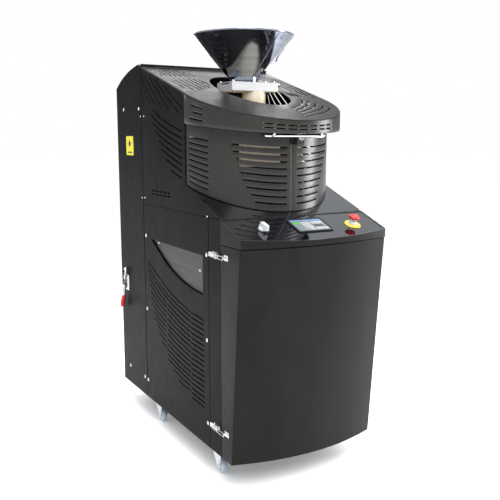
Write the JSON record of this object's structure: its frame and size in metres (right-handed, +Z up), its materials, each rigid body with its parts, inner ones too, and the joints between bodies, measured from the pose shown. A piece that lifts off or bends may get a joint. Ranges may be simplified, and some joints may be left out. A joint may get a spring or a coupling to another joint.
{
  "type": "shop coffee roaster",
  "caption": "Black sheet-steel coffee roaster on castors with a stainless bean hopper, lifting hood, slotted round tower cover, sloping control desk and latched bowed front door.",
  "frame": {"origin": "centre of the bounding box at floor level, under the castor wheels", "axes": "+Z up, -Y towards the bowed front door, X from left to right when facing the door"},
  "size_m": [0.667, 1.1986, 1.628],
  "materials": {
    "black_paint": "satin black powder coat",
    "tower_paint": "semi-gloss warm black paint",
    "gloss_panel": "high-gloss black",
    "stainless": "bright stainless steel",
    "brushed_steel": "brushed stainless steel",
    "zinc": "bright zinc plate",
    "cream_enamel": "cream heat-proof enamel",
    "black_plastic": "matte black",
    "red_plastic": "gloss red",
    "yellow_plastic": "satin yellow",
    "white_plastic": "pale grey white",
    "screen_glass": "dark display glass",
    "cast_metal": "rough dark casting"
  },
  "bodies": {
    "chassis": {"base_frame": "black_paint", "bulkhead": "black_paint", "rear_cabinet_shell": "black_paint", "lower_side_panel_left": "black_paint", "lower_side_panel_right": "black_paint", "upper_side_panel_left": "black_paint", "upper_side_panel_right": "black_paint", "front_column_left": "black_paint", "front_column_right": "black_paint", "rear_deck": "black_paint", "control_desk": "gloss_panel", "touchscreen": "screen_glass", "estop_collar": "yellow_plastic", "tower_cover_left": "tower_paint", "tower_cover_right": "tower_paint", "hood_hinge_rail": "black_paint", "hood_catch": "black_plastic", "chamber_shelf": "brushed_steel", "roasting_chamber": "cream_enamel", "cooling_bin": "brushed_steel", "blower_housing": "cast_metal", "door_hinge_post": "black_paint", "latch_base_upper": "stainless", "latch_base_lower": "stainless", "clamp_base_left": "stainless", "clamp_base_right": "stainless", "power_gland": "black_plastic"},
    "hood": {"hood_cover": "tower_paint", "hood_hinge_tube": "black_paint", "hood_handle_bar": "stainless", "hopper_cone": "stainless", "hopper_handle": "stainless", "gate_body": "stainless", "feed_neck": "cream_enamel"},
    "gate": {"slide_gate": "stainless"},
    "stirrer": {"stirrer": "brushed_steel"},
    "door": {"front_door": "black_paint", "door_hinge_tube": "black_paint", "latch_keeper_upper": "stainless", "latch_keeper_lower": "stainless"},
    "latch_upper_lever": {"latch_lever_upper": "stainless"},
    "latch_upper_bail": {"latch_bail_upper": "stainless"},
    "latch_lower_lever": {"latch_lever_lower": "stainless"},
    "latch_lower_bail": {"latch_bail_lower": "stainless"},
    "clamp_left": {"clamp_lever_left": "red_plastic"},
    "clamp_right": {"clamp_lever_right": "red_plastic"},
    "estop": {"estop_button": "red_plastic"},
    "selector": {"selector_knob": "white_plastic"},
    "service_door": {"rear_service_door": "black_paint"},
    "service_knob_upper": {"rear_door_knob_upper": "black_plastic"},
    "service_knob_lower": {"rear_door_knob_lower": "black_plastic"},
    "castor_rear_left": {"castor_fork_rear_left": "zinc"},
    "wheel_rear_left": {"castor_wheel_rear_left": "white_plastic"},
    "castor_front_left": {"castor_fork_front_left": "zinc"},
    "wheel_front_left": {"castor_wheel_front_left": "white_plastic"},
    "castor_rear_right": {"castor_fork_rear_right": "zinc"},
    "wheel_rear_right": {"castor_wheel_rear_right": "white_plastic"},
    "castor_front_right": {"castor_fork_front_right": "zinc"},
    "wheel_front_right": {"castor_wheel_front_right": "white_plastic"}
  },
  "joints": [
    {"name": "hood_lift", "type": "hinge", "parent": "chassis", "child": "hood", "pos_m": [0, 0.2767, 1.52816], "axis": [-1, 0, 0], "range_deg": [0, 50]},
    {"name": "gate_slide", "type": "slide", "parent": "hood", "child": "gate", "axis": [1, 0, 0], "range_m": [0, 0.1]},
    {"name": "stirrer_spin", "type": "hinge", "parent": "chassis", "child": "stirrer", "pos_m": [0, -0.0467, 1.125], "axis": [0, 0, 1], "continuous": true},
    {"name": "door_swing", "type": "hinge", "parent": "chassis", "child": "door", "pos_m": [0.3165, -0.4217, 0.5], "axis": [0, 0, 1], "range_deg": [0, 110]},
    {"name": "latch_upper_lever_hinge", "type": "hinge", "parent": "chassis", "child": "latch_upper_lever", "pos_m": [-0.3138, -0.4027, 0.83], "axis": [0, 0, 1], "range_deg": [0, 100]},
    {"name": "latch_upper_bail_hinge", "type": "hinge", "parent": "latch_upper_lever", "child": "latch_upper_bail", "pos_m": [-0.3203, -0.3767, 0.83], "axis": [0, 0, 1], "range_deg": [-100, 0]},
    {"name": "latch_lower_lever_hinge", "type": "hinge", "parent": "chassis", "child": "latch_lower_lever", "pos_m": [-0.3138, -0.4027, 0.2], "axis": [0, 0, 1], "range_deg": [0, 100]},
    {"name": "latch_lower_bail_hinge", "type": "hinge", "parent": "latch_lower_lever", "child": "latch_lower_bail", "pos_m": [-0.3203, -0.3767, 0.2], "axis": [0, 0, 1], "range_deg": [-100, 0]},
    {"name": "clamp_left_hinge", "type": "hinge", "parent": "chassis", "child": "clamp_left", "pos_m": [-0.3233, 0.4893, 0.56], "axis": [0, 1, 0], "range_deg": [0, 120]},
    {"name": "clamp_right_hinge", "type": "hinge", "parent": "chassis", "child": "clamp_right", "pos_m": [0.3233, 0.4893, 0.56], "axis": [0, -1, 0], "range_deg": [0, 120]},
    {"name": "estop_press", "type": "slide", "parent": "chassis", "child": "estop", "axis": [0, 0.3474, -0.9377], "range_m": [0, 0.004], "stiffness_N_per_m": 900},
    {"name": "selector_turn", "type": "hinge", "parent": "chassis", "child": "selector", "pos_m": [-0.184, -0.5027, 0.9223], "axis": [0, -0.3474, 0.9377], "range_deg": [-45, 45]},
    {"name": "service_door_swing", "type": "hinge", "parent": "chassis", "child": "service_door", "pos_m": [0.281, 0.5748, 0.93], "axis": [0, 0, -1], "range_deg": [0, 110]},
    {"name": "service_knob_upper_turn", "type": "hinge", "parent": "service_door", "child": "service_knob_upper", "pos_m": [-0.252, 0.5761, 1.128], "axis": [0, 1, 0], "range_deg": [0, 90]},
    {"name": "service_knob_lower_turn", "type": "hinge", "parent": "service_door", "child": "service_knob_lower", "pos_m": [-0.252, 0.5761, 0.797], "axis": [0, 1, 0], "range_deg": [0, 90]},
    {"name": "castor_rear_left_swivel", "type": "hinge", "parent": "chassis", "child": "castor_rear_left", "pos_m": [-0.268, 0.2173, 0.096], "axis": [0, 0, 1], "continuous": true},
    {"name": "wheel_rear_left_roll", "type": "hinge", "parent": "castor_rear_left", "child": "wheel_rear_left", "pos_m": [-0.268, 0.1973, 0.03], "axis": [1, 0, 0], "continuous": true},
    {"name": "castor_front_left_swivel", "type": "hinge", "parent": "chassis", "child": "castor_front_left", "pos_m": [-0.268, -0.3327, 0.096], "axis": [0, 0, 1], "continuous": true},
    {"name": "wheel_front_left_roll", "type": "hinge", "parent": "castor_front_left", "child": "wheel_front_left", "pos_m": [-0.268, -0.3527, 0.03], "axis": [1, 0, 0], "continuous": true},
    {"name": "castor_rear_right_swivel", "type": "hinge", "parent": "chassis", "child": "castor_rear_right", "pos_m": [0.268, 0.2173, 0.096], "axis": [0, 0, 1], "continuous": true},
    {"name": "wheel_rear_right_roll", "type": "hinge", "parent": "castor_rear_right", "child": "wheel_rear_right", "pos_m": [0.268, 0.1973, 0.03], "axis": [1, 0, 0], "continuous": true},
    {"name": "castor_front_right_swivel", "type": "hinge", "parent": "chassis", "child": "castor_front_right", "pos_m": [0.268, -0.3327, 0.096], "axis": [0, 0, 1], "continuous": true},
    {"name": "wheel_front_right_roll", "type": "hinge", "parent": "castor_front_right", "child": "wheel_front_right", "pos_m": [0.268, -0.3527, 0.03], "axis": [1, 0, 0], "continuous": true}
  ],
  "couplings": [
    {"joint": "latch_upper_bail_hinge", "follows": "latch_upper_lever_hinge", "ratio": -1},
    {"joint": "latch_lower_bail_hinge", "follows": "latch_lower_lever_hinge", "ratio": -1}
  ]
}
